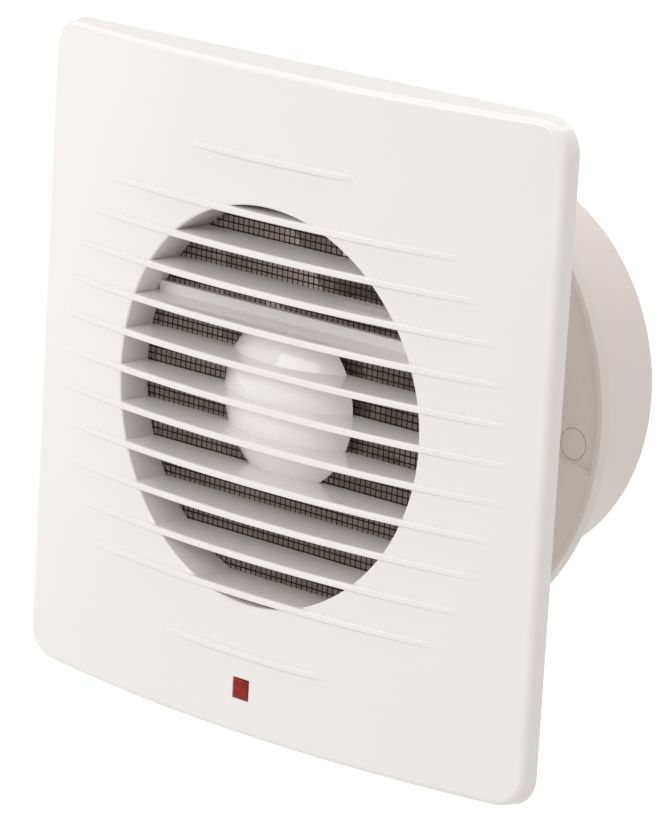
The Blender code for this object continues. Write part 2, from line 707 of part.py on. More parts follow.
def build_motor():
    filled("stator_core", [circle_points(STACK_RADIUS, 36), stator_window()], STACK_FRONT,
           STACK_BACK, mat=LAMINATION)
    middle = (STACK_FRONT + STACK_BACK) / 2
    half_stack = (STACK_BACK - STACK_FRONT) / 2
    for pole in range(4):
        turn = 90 * pole
        reach = POLE_HALF_WIDTH + GAP
        coil = boxes(f"stator_coil_{pole + 1}",
                     [((0.0137, middle - half_stack - 0.0028, -reach - 0.0025),
                       (0.0191, middle + half_stack + 0.0028, reach + 0.0025))],
                     COPPER, turns=[turn])
        bevel = coil.modifiers.new("rounded_winding", "BEVEL")
        bevel.width = 0.0009
        bevel.segments = 1
        core = boxes(f"coil_core_{pole + 1}", [((0.010, middle - half_stack - GAP, -reach),
                                                (0.025, middle + half_stack + GAP, reach))],
                     turns=[turn])
        combine(coil, core, "DIFFERENCE")

    turned("rotor_core", [(SHAFT_BORE, 0.0490), (0.0094, 0.0490), (0.0094, 0.0484),
                          (ROTOR_RADIUS, 0.0484), (ROTOR_RADIUS, 0.0356), (0.0094, 0.0356),
                          (0.0094, 0.0350), (SHAFT_BORE, 0.0350)], 24, LAMINATION)
    rods("motor_shaft", [(0.0, 0.0, SHAFT_RADIUS, 0.0028, 0.0570)], 24, STEEL)
    for name, front in (("front_bearing", 0.0284), ("rear_bearing", 0.0510)):
        turned(name, [(SHAFT_BORE, front + 0.0046), (BEARING_RADIUS, front + 0.0046),
                      (BEARING_RADIUS, front), (SHAFT_BORE, front)], 24, BRONZE)

    plate_front, plate_back = 0.0516, 0.0531
    rim = STACK_BACK + GAP
    bracket = turned("bearing_bracket", [(BEARING_SEAT, 0.0560), (0.0065, 0.0560),
                                         (0.0065, plate_back), (0.0234, plate_back),
                                         (0.0234, rim), (0.0210, rim), (0.0210, plate_front),
                                         (0.0065, plate_front), (0.0065, 0.0502),
                                         (BEARING_SEAT, 0.0502)], 28, STEEL)
    drills = [(s * MOTOR_SCREW_OFFSET, s * MOTOR_SCREW_OFFSET, 0.0018, 0.0500, 0.0560)
              for s in (-1, 1)]
    combine(bracket, rods("bracket_drills", drills, 16), "DIFFERENCE")
    combine(bracket, boxes("bracket_notch", [((-0.0040, 0.0470, 0.0180),
                                              (0.0040, 0.0512, 0.0260))]), "DIFFERENCE")
    for number, side in enumerate((-1, 1), start=1):
        offset = side * MOTOR_SCREW_OFFSET
        screw = rods(f"bracket_screw_{number}", [(offset, offset, 0.0015, 0.0303, 0.0540)], 16,
                     STEEL)
        head_front = plate_back + GAP
        head = rods(f"bracket_screw_head_{number}",
                    [(offset, offset, 0.0029, head_front, head_front + 0.0017)], 16)
        combine(screw, head, "UNION")

    turned("motor_cap", [(0.0, 0.0632), (0.0130, 0.0628), (0.0230, 0.0613),
                         (CUP_RADIUS, 0.0596), (CUP_RADIUS, CUP_END + GAP),
                         (0.0249, CUP_END + GAP), (0.0249, 0.0555), (0.0233, 0.0555),
                         (0.0233, 0.0592), (0.0130, 0.0610), (0.0, 0.0614)], 28, BODY_ABS)


# ---- mains connection and wiring ----

def screw_piece(name, x, z, shank, front, back, head_radius, head_depth):
    """A screw driven along +Y, with its head towards the room."""
    piece = rods(name, [(x, z, shank, front - head_depth / 2, back)], 16, STEEL)
    head = rods(name + "_head", [(x, z, head_radius, front - head_depth, front)], 16)
    combine(piece, head, "UNION")
    slot = boxes(name + "_slot", [((x - head_radius, front - head_depth - 0.001, z - 0.0003),
                                   (x + head_radius, front - head_depth + 0.0006, z + 0.0003))])
    combine(piece, slot, "DIFFERENCE")


def build_connection():
    block_back = PLATE_FRONT - GAP
    block = boxes("terminal_block", [((-0.0090, -0.0086, 0.0575), (0.0090, block_back, 0.0675))],
                  TERMINAL_NYLON)
    places = (-TERMINAL_X, TERMINAL_X)
    wells = rods("terminal_wells", [(x, TERMINAL_Z, 0.0019, -0.0100, -0.0036) for x in places],
                 16)
    ways = boxes("terminal_ways", [((x - 0.0020, -0.0058, 0.0560), (x + 0.0020, -0.0036, 0.0690))
                                   for x in places])
    combine(block, wells, "DIFFERENCE")
    combine(block, ways, "DIFFERENCE")
    for number, x in enumerate(places, start=1):
        screw_piece(f"terminal_screw_{number}", x, TERMINAL_Z, 0.0012, -0.0074, -0.0060, 0.0016,
                    0.0014)

    bar_back = PLATE_FRONT - 0.0022 - GAP
    bar = boxes("cable_clamp", [((CLAMP_X - 0.0025, bar_back - 0.0018, 0.0545),
                                 (CLAMP_X + 0.0025, bar_back, 0.0695))], TERMINAL_NYLON)
    combine(bar, rods("clamp_drills", [(CLAMP_X, z, 0.0015, -0.0080, -0.0030)
                                       for z in CLAMP_SCREW_Z], 16), "DIFFERENCE")
    for number, z in enumerate(CLAMP_SCREW_Z, start=1):
        screw_piece(f"clamp_screw_{number}", CLAMP_X, z, 0.0011, bar_back - 0.0018 - GAP,
                    -0.0024, 0.0021, 0.0015)

    turned("cable_grommet", [(0.0028, -0.0004), (0.0041, -0.0004), (0.0041, PLATE_FRONT - GAP),
                             (0.0060, PLATE_FRONT - GAP), (0.0060, -0.0032), (0.0046, -0.0040),
                             (0.0028, -0.0040)], 24, BLACK_RUBBER, centre=CABLE_ENTRY)


def build_leads():
    colours = {-1: ("neutral", BLUE_PVC), 1: ("live", BROWN_PVC)}
    for side, (wire, mat) in colours.items():
        along = side * LEAD_OFFSET
        lead(f"motor_lead_{wire}",
             [(side * 0.0036, -0.0047, 0.0605), (side * 0.0036, -0.0047, 0.0570),
              (side * 0.0032, -0.0040, 0.0545), (along, -0.0018, 0.0522),
              (along, 0.0010, 0.0518), (along, 0.0028, 0.0508), (along, 0.0031, 0.0480),
              (along, 0.0042, 0.0461), (along, 0.0065, 0.0455), (along, 0.0200, 0.0456),
              (along, 0.0340, 0.0456), (along, 0.0470, 0.0455), (along, 0.0497, 0.0438),
              (along, 0.0500, 0.0400), (along, 0.0500, 0.0300), (along, 0.0500, 0.0196)], mat)
        arc = [on_circle(LAMP_LEAD_RADIUS, 90 - side * turn, -0.0029)
               for turn in range(16, 157, 14)]
        lead(f"lamp_lead_{wire}",
             [(side * 0.0052, -0.0047, 0.0605), (side * 0.0052, -0.0047, 0.0580),
              (side * 0.0058, -0.0043, 0.0556)] + arc
             + [(side * 0.0160, -0.0036, -0.0580), (side * 0.0110, -0.0052, -0.0640),
                (side * 0.0075, LAMP_DEPTH, LENS_HEIGHT),
                (side * (LAMP_HALF_LENGTH + GAP), LAMP_DEPTH, LENS_HEIGHT)], mat, steps=2)


build_front_cover()
build_indicator()
build_insect_mesh()
build_wall_plate()
build_fan_body()
build_clamp_ring()
build_impeller()
build_motor()
build_connection()
build_leads()
for piece in PARTS.objects:
    if piece.type == "MESH":
        smooth_round(piece)
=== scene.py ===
import math

import bmesh
import bpy
from mathutils import Matrix, Vector


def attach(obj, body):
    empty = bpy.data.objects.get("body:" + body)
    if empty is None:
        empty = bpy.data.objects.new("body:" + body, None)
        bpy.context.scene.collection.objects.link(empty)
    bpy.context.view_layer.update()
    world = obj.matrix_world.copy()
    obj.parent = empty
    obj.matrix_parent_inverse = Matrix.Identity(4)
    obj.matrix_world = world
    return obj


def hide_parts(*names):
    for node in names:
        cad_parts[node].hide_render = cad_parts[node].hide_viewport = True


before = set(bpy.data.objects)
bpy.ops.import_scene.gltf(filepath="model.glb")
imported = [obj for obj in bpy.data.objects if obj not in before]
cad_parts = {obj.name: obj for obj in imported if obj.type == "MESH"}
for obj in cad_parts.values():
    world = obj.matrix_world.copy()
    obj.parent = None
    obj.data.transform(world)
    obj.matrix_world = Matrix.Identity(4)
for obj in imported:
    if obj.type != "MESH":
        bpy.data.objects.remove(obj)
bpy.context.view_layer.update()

# Everything is in metres: X right, Y into the wall, Z up, origin at the bore centre
# in the wall plane. A radius is measured from the Y axis, and a depth is a Y value.
# Points closer together than this are merged, and a lathe's seam gets a little more.
mergeDistance = 0.000001
latheMerge = 0.000002


def clearSelection():
    bpy.ops.object.select_all(action="DESELECT")


def onlySelect(piece):
    clearSelection()
    piece.select_set(True)
    bpy.context.view_layer.objects.active = piece


def startEdit(piece):
    onlySelect(piece)
    bpy.ops.object.mode_set(mode="EDIT")
    bpy.ops.mesh.select_mode(type="VERT")
    return bmesh.from_edit_mesh(piece.data)


def endEdit():
    bpy.ops.object.mode_set(mode="OBJECT")


def newPiece(name):
    # names the primitive that was just added and bakes its place into the mesh
    piece = bpy.context.active_object
    piece.name = name
    piece.data.name = name
    bpy.ops.object.transform_apply(location=True, rotation=True, scale=True)
    return piece


def tidyMesh(piece):
    startEdit(piece)
    bpy.ops.mesh.select_all(action="SELECT")
    bpy.ops.mesh.remove_doubles(threshold=mergeDistance)
    bpy.ops.mesh.normals_make_consistent(inside=False)
    endEdit()


def bevelEdges(piece, wanted, width, segments):
    # rounds the edges whose two ends satisfy wanted(a, b)
    startEdit(piece)
    bpy.ops.mesh.select_all(action="DESELECT")
    bpy.ops.mesh.select_mode(type="EDGE")
    mesh = bmesh.from_edit_mesh(piece.data)
    for edge in mesh.edges:
        edge.select = bool(wanted(edge.verts[0].co, edge.verts[1].co))
    bmesh.update_edit_mesh(piece.data)
    bpy.ops.mesh.bevel(offset=width, segments=segments, profile=0.5, affect="EDGES",
                       clamp_overlap=True)
    endEdit()


def block(name, low, high, rounding=0.0, segments=2):
    low, high = Vector(low), Vector(high)
    clearSelection()
    bpy.ops.mesh.primitive_cube_add(size=1, location=(low + high) / 2, scale=high - low)
    piece = newPiece(name)
    if rounding:
        bevelEdges(piece, lambda a, b: True, rounding, segments)
    return piece


def rod(name, x, z, radius, front, back, rounding=0.0, steps=32):
    clearSelection()
    middle = (front + back) / 2
    bpy.ops.mesh.primitive_cylinder_add(vertices=steps, radius=radius, depth=back - front,
                                        location=(x, middle, z), rotation=(math.radians(90), 0, 0))
    piece = newPiece(name)
    if rounding:
        bevelEdges(piece, lambda a, b: (a.y - middle) * (b.y - middle) > 0, rounding, 3)
    return piece


def softened(profile, rounding, closed=True, steps=3):
    # rounds each corner of a (radius, depth) profile; a corner on the axis is left alone
    points = [Vector(p) for p in profile]
    count = len(points)
    made = []
    for i, corner in enumerate(points):
        before, after = points[i - 1], points[(i + 1) % count]
        if corner.x < 1e-6 or (not closed and i in (0, count - 1)):
            made.append(corner)
            continue
        toBefore, toAfter = before - corner, after - corner
        reach = min(rounding, 0.45 * toBefore.length, 0.45 * toAfter.length)
        turn = toBefore.angle(toAfter)
        if turn > math.radians(165):
            made.append(corner)
            continue
        start = corner + toBefore.normalized() * reach
        end = corner + toAfter.normalized() * reach
        for step in range(steps + 1):
            t = step / steps
            made.append(start * (1 - t) ** 2 + corner * 2 * t * (1 - t) + end * t ** 2)
    return made


def turnPiece(name, profile, steps=96, rounding=0.0, closed=True, centre=(0.0, 0.0)):
    # a lathe: one vertex is extruded along the profile, then spun round the Y axis
    points = softened(profile, rounding, closed) if rounding else [Vector(p) for p in profile]
    clearSelection()
    bpy.ops.mesh.primitive_plane_add(size=0.001)
    piece = newPiece(name)
    startEdit(piece)
    bpy.ops.mesh.select_all(action="SELECT")
    bpy.ops.mesh.merge(type="CENTER")
    first = points[0]
    bpy.ops.transform.translate(value=(centre[0] + first.x, first.y, centre[1]))
    for here, there in zip(points, points[1:] + (points[:1] if closed else [])):
        bpy.ops.mesh.extrude_vertices_move(
            TRANSFORM_OT_translate={"value": (there.x - here.x, there.y - here.y, 0.0)})
    bpy.ops.mesh.select_all(action="SELECT")
    bpy.ops.mesh.remove_doubles(threshold=mergeDistance)
    bpy.ops.mesh.select_all(action="SELECT")
    bpy.ops.mesh.spin(steps=steps, angle=math.radians(360), center=(centre[0], 0, centre[1]),
                      axis=(0, 1, 0))
    bpy.ops.mesh.select_all(action="SELECT")
    bpy.ops.mesh.remove_doubles(threshold=latheMerge)
    bpy.ops.mesh.normals_make_consistent(inside=False)
    endEdit()
    return piece


def loftPiece(name, rings):
    # a circle is extruded ring by ring; each new ring is then laid on its own points
    clearSelection()
    bpy.ops.mesh.primitive_circle_add(vertices=len(rings[0]), radius=0.01)
    piece = newPiece(name)
    mesh = startEdit(piece)
    for vertex, place in zip(mesh.verts, rings[0]):
        vertex.co = place
    bmesh.update_edit_mesh(piece.data)
    bpy.ops.mesh.select_all(action="SELECT")
    bpy.ops.mesh.edge_face_add()
    bpy.ops.mesh.select_mode(type="VERT")
    spots = {tuple(v.co): i for i, v in enumerate(bmesh.from_edit_mesh(piece.data).verts)}
    for ring in rings[1:]:
        bpy.ops.mesh.extrude_edges_move(TRANSFORM_OT_translate={"value": (0, 0, 0)})
        mesh = bmesh.from_edit_mesh(piece.data)
        moved = {}
        for vertex in mesh.verts:
            if vertex.select:
                number = spots[tuple(vertex.co)]
                vertex.co = ring[number]
                moved[tuple(vertex.co)] = number
        spots = moved
        bmesh.update_edit_mesh(piece.data)
    bpy.ops.mesh.edge_face_add()
    bpy.ops.mesh.select_all(action="SELECT")
    bpy.ops.mesh.normals_make_consistent(inside=False)
    endEdit()
    return piece


def joinPieces(name, pieces):
    clearSelection()
    for piece in pieces:
        piece.select_set(True)
    bpy.context.view_layer.objects.active = pieces[0]
    if len(pieces) > 1:
        bpy.ops.object.join()
    made = bpy.context.active_object
    made.name = name
    made.data.name = name
    return made


def shapeWith(piece, tool, operation):
    onlySelect(piece)
    bpy.ops.object.modifier_add(type="BOOLEAN")
    step = piece.modifiers[-1]
    step.operation = operation
    step.solver = "EXACT"
    step.object = tool
    bpy.ops.object.modifier_apply(modifier=step.name)
    bpy.data.objects.remove(tool, do_unlink=True)


def addTo(piece, *tools):
    for tool in tools:
        shapeWith(piece, tool, "UNION")


def cutFrom(piece, *tools):
    for tool in tools:
        shapeWith(piece, tool, "DIFFERENCE")


def turnedCopies(piece, angles):
    # copies of a piece, each with its own mesh, turned about the Y axis from +X towards +Z
    copies = []
    for angle in angles:
        copy = piece.copy()
        copy.data = piece.data.copy()
        bpy.context.scene.collection.objects.link(copy)
        copy.data.transform(Matrix.Rotation(math.radians(-angle), 4, "Y"))
        copies.append(copy)
    bpy.data.objects.remove(piece, do_unlink=True)
    return copies


def smoothShade(piece, angle=24):
    onlySelect(piece)
    bpy.ops.object.shade_smooth_by_angle(angle=math.radians(angle))


def weighNormals(piece):
    # lets the large faces lead, so a flat face stays even up to its small neighbours
    onlySelect(piece)
    bpy.ops.object.modifier_add(type="WEIGHTED_NORMAL")
    piece.modifiers[-1].keep_sharp = True
    bpy.ops.object.modifier_apply(modifier=piece.modifiers[-1].name)


def spread(start, end, steps):
    return [start + (end - start) * i / steps for i in range(steps + 1)]


def handIn(piece, material, slot, body, *nodes):
    # a finished piece: its material, a slot name that is not used, its body and the CAD nodes it
    # stands for
    tidyMesh(piece)
    smoothShade(piece)
    if piece.name != "insectMesh":
        weighNormals(piece)
    piece.data.materials.clear()
    piece.data.materials.append(material)
    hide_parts(*nodes)
    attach(piece, body)
    print("made", piece.name, len(piece.data.polygons), "faces")


def linearColour(hexCode):
    channels = [int(hexCode[i:i + 2], 16) / 255 for i in (1, 3, 5)]
    linear = [c / 12.92 if c <= 0.04045 else ((c + 0.055) / 1.055) ** 2.4 for c in channels]
    return tuple(linear) + (1.0,)


def addNode(tree, kind, links=None, values=None, **settings):
    node = tree.nodes.new("ShaderNode" + kind)
    for name, value in settings.items():
        setattr(node, name, value)
    for socket, value in (values or {}).items():
        node.inputs[socket].default_value = value
    for socket, source in (links or {}).items():
        tree.links.new(source, node.inputs[socket])
    return node


def startMaterial(name):
    material = bpy.data.materials.new(name)
    material.use_nodes = True
    tree = material.node_tree
    tree.nodes.clear()
    place = addNode(tree, "TexCoord").outputs["Object"]
    return material, tree, place


def endMaterial(tree, shader):
    addNode(tree, "OutputMaterial", links={"Surface": shader.outputs[0]})


def blendColours(tree, share, first, second):
    mixed = addNode(tree, "Mix", data_type="RGBA")
    mixed.inputs[6].default_value = linearColour(first)
    mixed.inputs[7].default_value = linearColour(second)
    tree.links.new(share, mixed.inputs[0])
    return mixed.outputs[2]


def ranged(tree, source, low, high, fromLow=0.3, fromHigh=0.7):
    scaled = addNode(tree, "MapRange", links={0: source},
                     values={1: fromLow, 2: fromHigh, 3: low, 4: high})
    return scaled.outputs[0]


def mouldedPlastic(name, light, dark, roughness, grain, grainDepth, specular=0.5):
    # grain is the size of the mould texture and grainDepth how deep it looks, both in millimetres
    material, tree, place = startMaterial(name)
    clouds = addNode(tree, "TexNoise", links={"Vector": place},
                     values={"Scale": 1000 / 35.0, "Detail": 3.0, "Roughness": 0.55})
    flow = addNode(tree, "TexNoise", links={"Vector": place},
                   values={"Scale": 1000 / 9.0, "Detail": 2.0, "Roughness": 0.5})
    fine = addNode(tree, "TexNoise", links={"Vector": place},
                   values={"Scale": 1000 / grain, "Detail": 2.0, "Roughness": 0.6})
    colour = blendColours(tree, ranged(tree, clouds.outputs["Fac"], 0, 1, 0.1, 0.9), light, dark)
    bump = addNode(tree, "Bump", links={"Height": fine.outputs["Fac"]},
                   values={"Strength": 0.35, "Distance": grainDepth / 1000})
    rough = ranged(tree, flow.outputs["Fac"], roughness * 0.85, roughness * 1.15, 0.1, 0.9)
    shader = addNode(tree, "BsdfPrincipled",
                     links={"Base Color": colour, "Normal": bump.outputs[0], "Roughness": rough},
                     values={"IOR": 1.53, "Specular IOR Level": specular})
    endMaterial(tree, shader)
    return material


def plainMetal(name, light, dark, roughness, spotSize, direction=(1, 1, 1), depth=0.01):
    # direction stretches the pattern: a low value draws the marks out along that axis
    material, tree, place = startMaterial(name)
    marks = addNode(tree, "Mapping", links={"Vector": place}, values={"Scale": direction})
    spots = addNode(tree, "TexNoise", links={"Vector": marks.outputs[0]},
                    values={"Scale": 1000 / spotSize, "Detail": 3.0, "Roughness": 0.6})
    colour = blendColours(tree, ranged(tree, spots.outputs["Fac"], 0, 1), light, dark)
    bump = addNode(tree, "Bump", links={"Height": spots.outputs["Fac"]},
                   values={"Strength": 0.3, "Distance": depth / 1000})
    shader = addNode(tree, "BsdfPrincipled",
                     links={"Base Color": colour, "Normal": bump.outputs[0],
                            "Roughness": ranged(tree, spots.outputs["Fac"], roughness - 0.06,
                                                roughness + 0.08)},
                     values={"Metallic": 1.0})
    endMaterial(tree, shader)
    return material


def stripedMetal(name, light, dark, roughness, pitch, direction, metallic=1.0, coat=0.0):
    # fine parallel lines pitch millimetres apart, such as lamination edges or a winding's turns;
    # one line of the wave is pi / 10 units wide at a scale of 1
    material, tree, place = startMaterial(name)
    lines = addNode(tree, "TexWave", links={"Vector": place}, bands_direction=direction,
                    values={"Scale": math.pi / 10 * 1000 / pitch, "Distortion": 0.6, "Detail": 1.0,
                            "Detail Scale": 2.0})
    spots = addNode(tree, "TexNoise", links={"Vector": place},
                    values={"Scale": 1000 / 2.5, "Detail": 3.0})
    colour = blendColours(tree, lines.outputs["Fac"], dark, light)
    bump = addNode(tree, "Bump", links={"Height": lines.outputs["Fac"]},
                   values={"Strength": 0.6, "Distance": 0.00008})
    shader = addNode(tree, "BsdfPrincipled",
                     links={"Base Color": colour, "Normal": bump.outputs[0],
                            "Roughness": ranged(tree, spots.outputs["Fac"], roughness - 0.05,
                                                roughness + 0.08)},
                     values={"Metallic": metallic, "Coat Weight": coat, "Coat Roughness": 0.15})
    endMaterial(tree, shader)
    return material


# high-gloss white ABS from a polished mould: even and bright, with a faint waviness in its gloss
whiteAbs = mouldedPlastic("glossWhiteAbs", "#F5F2F1", "#F3F0EF", 0.07, 1.8, 0.0008)
# the body is satin ABS, coloured slightly warmer and duller than the cover: painted shade standing
# for the warm shade the tube and flange lie in
bodyAbsPaintedShade = mouldedPlastic("satinWhiteAbs", "#EEE7E3", "#E8E0DC", 0.42, 0.9, 0.008)
# the clamp ring is the same white plastic from a plain mould, with a little more texture; its
# colour is painted warmer and duller, as painted shade for the warm shade it lies in
ringAbsPaintedShade = mouldedPlastic("mouldedRingAbs", "#EAE5E0", "#E3DDD8", 0.45, 0.8, 0.010)
# warm grey ABS for the wheel, spark-eroded mould: matt with a fine pebble
greyAbs = mouldedPlastic("mattGreyAbs", "#DED5CD", "#D3C9C1", 0.55, 0.7, 0.012)
# natural nylon is milky and waxy
nylon = mouldedPlastic("naturalNylon", "#E3DFCF", "#D6D1BD", 0.40, 0.6, 0.006)
# soft black rubber with a dusty bloom
rubber = mouldedPlastic("blackRubber", "#1D1D1D", "#2A2928", 0.70, 0.5, 0.020)
# extruded PVC insulation, smooth and slightly shiny
brownPvc = mouldedPlastic("brownPvc", "#5A3320", "#4C2A1A", 0.38, 0.4, 0.004)
bluePvc = mouldedPlastic("bluePvc", "#2F62A8", "#28538F", 0.38, 0.4, 0.004)
# zinc plate: bright grey with soft cloudy spangle
zincSteel = plainMetal("zincPlatedSteel", "#C9CBCE", "#A9ACB0", 0.30, 1.2)
# ground shaft: fine marks run round it
groundSteel = plainMetal("groundSteel", "#C4C5C8", "#A7A8AB", 0.22, 0.5, direction=(0.3, 4, 0.3))
# sintered bronze: dull, oily and porous
sinteredBronze = plainMetal("sinteredBronze", "#A98752", "#7E6238", 0.48, 0.35, depth=0.03)
# punched sheets of electrical steel, 0.5 mm thick, seen edge on as lines across the depth
electricalSteel = stripedMetal("stackedLaminations", "#8D8F93", "#4C4D50", 0.40, 0.5, "Y")
# enamelled copper wire of about 0.3 mm, wound side by side and drawn as lines
copperWinding = stripedMetal("enamelledCopper", "#C8743C", "#6E3416", 0.28, 0.35, "Y", coat=0.4)
# the insect mesh is thin black-coated wire, dull with a little wear to brown
blackWire = plainMetal("blackCoatedWire", "#3A332E", "#241F1B", 0.55, 0.6)
blackWire.node_tree.nodes["Principled BSDF"].inputs["Metallic"].default_value = 0.4


def redAcrylicMaterial():
    # clear red acrylic with a fine prism pattern moulded behind it, 0.9 mm across
    material, tree, place = startMaterial("redAcrylic")
    prisms = addNode(tree, "TexChecker", links={"Vector": place}, values={"Scale": 1000 / 0.9})
    clouds = addNode(tree, "TexNoise", links={"Vector": place},
                     values={"Scale": 1000 / 2.2, "Detail": 2.0})
    colour = blendColours(tree, ranged(tree, clouds.outputs["Fac"], 0, 1), "#A3191E", "#7C1016")
    bump = addNode(tree, "Bump", links={"Height": prisms.outputs["Fac"]},
                   values={"Strength": 0.08, "Distance": 0.00004})
    shader = addNode(tree, "BsdfPrincipled",
                     links={"Base Color": colour, "Normal": bump.outputs[0]},
                     values={"Roughness": 0.12, "IOR": 1.49, "Specular IOR Level": 0.3})
    endMaterial(tree, shader)
    return material


def lampGlassMaterial():
    # the neon's glass is clear, with a faint orange cast from its gas and electrodes
    material, tree, place = startMaterial("neonLampGlass")
    clouds = addNode(tree, "TexNoise", links={"Vector": place},
                     values={"Scale": 1000 / 1.5, "Detail": 2.0})
    colour = blendColours(tree, ranged(tree, clouds.outputs["Fac"], 0, 1), "#F2D9C2", "#E3B48E")
    shader = addNode(tree, "BsdfPrincipled",
                     links={"Base Color": colour},
                     values={"Roughness": 0.05, "IOR": 1.50, "Transmission Weight": 0.8})
    endMaterial(tree, shader)
    return material


redAcrylic = redAcrylicMaterial()
lampGlass = lampGlassMaterial()
print("materials ready")


cover = {
    "halfWidth": 0.0800, "halfHeight": 0.0792, "cornerRadius": 0.0080, "wall": 0.0020,
    "edgeDepth": 0.0041, "bulge": 0.0088, "faceHalfWidth": 0.0784, "draft": 0.0005,
    "edgeRadius": 0.0016, "hollowRadius": 0.0008, "slices": 64, "ribGuard": 0.0005,
    "openingRadius": 0.0470, "lipRadius": 0.0006, "openingSteps": 160,
    "boreWall": 0.0016, "boreFront": -0.0115, "boreEnd": -0.0006, "boreInset": 0.0010,
    "ribPitch": 0.00895, "ribThickness": 0.0017, "ribHeight": 0.0009, "ribCircle": 0.0708,
    "ribRounding": 0.00048, "ribStations": 56, "fullRibs": 5, "shortRibs": (0.0580, -0.0590),
    "shortHalf": 0.0255, "bladeBack": -0.0009,
    "barRow": 2, "barHeight": 0.0033, "barFront": -0.0027, "barBack": -0.0010, "barRadius": 0.0003,
    "barBite": 0.0004,
    "pegX": 0.062, "pegZ": 0.050, "pegRadius": 0.0019, "pegEnd": -0.0004, "pegTip": 0.0004,
    "windowHalf": 0.0026, "windowHeight": -0.0675, "windowFront": -0.020, "windowBack": -0.008,
}


def coverDepth(x):
    return cover["edgeDepth"] + cover["bulge"] * (1 - (x / cover["faceHalfWidth"]) ** 2)


def ribHeights():
    rows = range(-cover["fullRibs"], cover["fullRibs"] + 1)
    return [row * cover["ribPitch"] for row in rows] + list(cover["shortRibs"])


def coverBlank(name, inset, back, rounding):
    # a flat rounded box, sliced across and then pushed out to the bulge of the face
    deepest = coverDepth(0) - inset
    halfWidth, halfHeight = cover["halfWidth"] - inset, cover["halfHeight"] - inset
    blank = block(name, (-halfWidth, -deepest, -halfHeight), (halfWidth, back, halfHeight))
    bevelEdges(blank, lambda a, b: abs(a.y - b.y) > 0.005, cover["cornerRadius"] - inset, 10)
    bevelEdges(blank, lambda a, b: max(a.y, b.y) < -deepest + 0.0001, rounding, 5)
    startEdit(blank)
    outermost = cover["faceHalfWidth"] - 0.0004
    for x in spread(-outermost, outermost, cover["slices"]):
        bpy.ops.mesh.select_all(action="SELECT")
        bpy.ops.mesh.bisect(plane_co=(x, 0, 0), plane_no=(1, 0, 0))
    for height in ribHeights():  # a cut either side of each rib keeps the face between them flat
        for side in (-1, 1):
            bpy.ops.mesh.select_all(action="SELECT")
            beside = height + side * (cover["ribThickness"] / 2 + cover["ribGuard"])
            bpy.ops.mesh.bisect(plane_co=(0, 0, beside), plane_no=(0, 0, 1))
    mesh = bmesh.from_edit_mesh(blank.data)
    for vertex in mesh.verts:
        if vertex.co.y < -0.001:
            behindFace = vertex.co.y + deepest
            shrink = 1 - cover["draft"] / cover["halfWidth"]
            vertex.co.x *= shrink
            vertex.co.z *= shrink
            vertex.co.y = inset - coverDepth(vertex.co.x) + behindFace
    bmesh.update_edit_mesh(blank.data)
    endEdit()
    return blank


def openingCutter():
    # the bore with a small rounded lip that follows the bulge of the face
    radius, lip = cover["openingRadius"], cover["lipRadius"]
    turns = [math.radians(a) for a in spread(0, 360, cover["openingSteps"])[:-1]]

    def loop(reach, depth):
        places = [(reach * math.cos(turn), reach * math.sin(turn)) for turn in turns]
        return [(x, depth(x), z) for x, z in places]

    rings = [loop(radius, lambda x: 0.002)]
    for bend in (0, 22, 45, 67, 88):
        turn = math.radians(bend)
        rings.append(loop(radius + lip * (1 - math.cos(turn)),
                          lambda x, t=turn: -coverDepth(x) + lip * (1 - math.sin(t))))
    rings.append(loop(radius + lip, lambda x: -coverDepth(x) - 0.0002))
    rings.append(loop(radius + lip, lambda x: cover["windowFront"]))
    return loftPiece("openingCutter", rings)


def makeRib(height, halfLength):
    # one rib lofted along X; where it spans the opening it is also a louvre blade
    half, rounding = cover["ribThickness"] / 2, cover["ribRounding"]
    middleWall = cover["openingRadius"] + cover["boreWall"] / 2
    reach = math.sqrt(max(middleWall ** 2 - height ** 2, 0.0))
    stations = [(x, abs(x) < reach) for x in spread(-halfLength, halfLength, cover["ribStations"])]
    if reach:  # the blade ends in the middle of the bore wall, with a step 0.02 mm long
        stations += [(side * (reach + gap), gap < 0)
                     for side in (-1, 1) for gap in (-0.00001, 0.00001)]
        stations.sort()

    def section(x, spansOpening):
        crest = -coverDepth(x) - cover["ribHeight"] * (1 - (x / halfLength) ** 4)
        root = cover["bladeBack"] if spansOpening else -coverDepth(x) + 0.6 * cover["wall"]
        points = [(x, root, height - half)]
        for side in (-1, 1):
            for bend in (0, 18, 36, 54, 72, 90):
                turn = math.radians(bend if side < 0 else 90 - bend)
                points.append((x, crest + rounding * (1 - math.sin(turn)),
                               height + side * (half - rounding * (1 - math.cos(turn)))))
        return points + [(x, root, height + half)]

    return loftPiece("rib", [section(x, spans) for x, spans in stations])


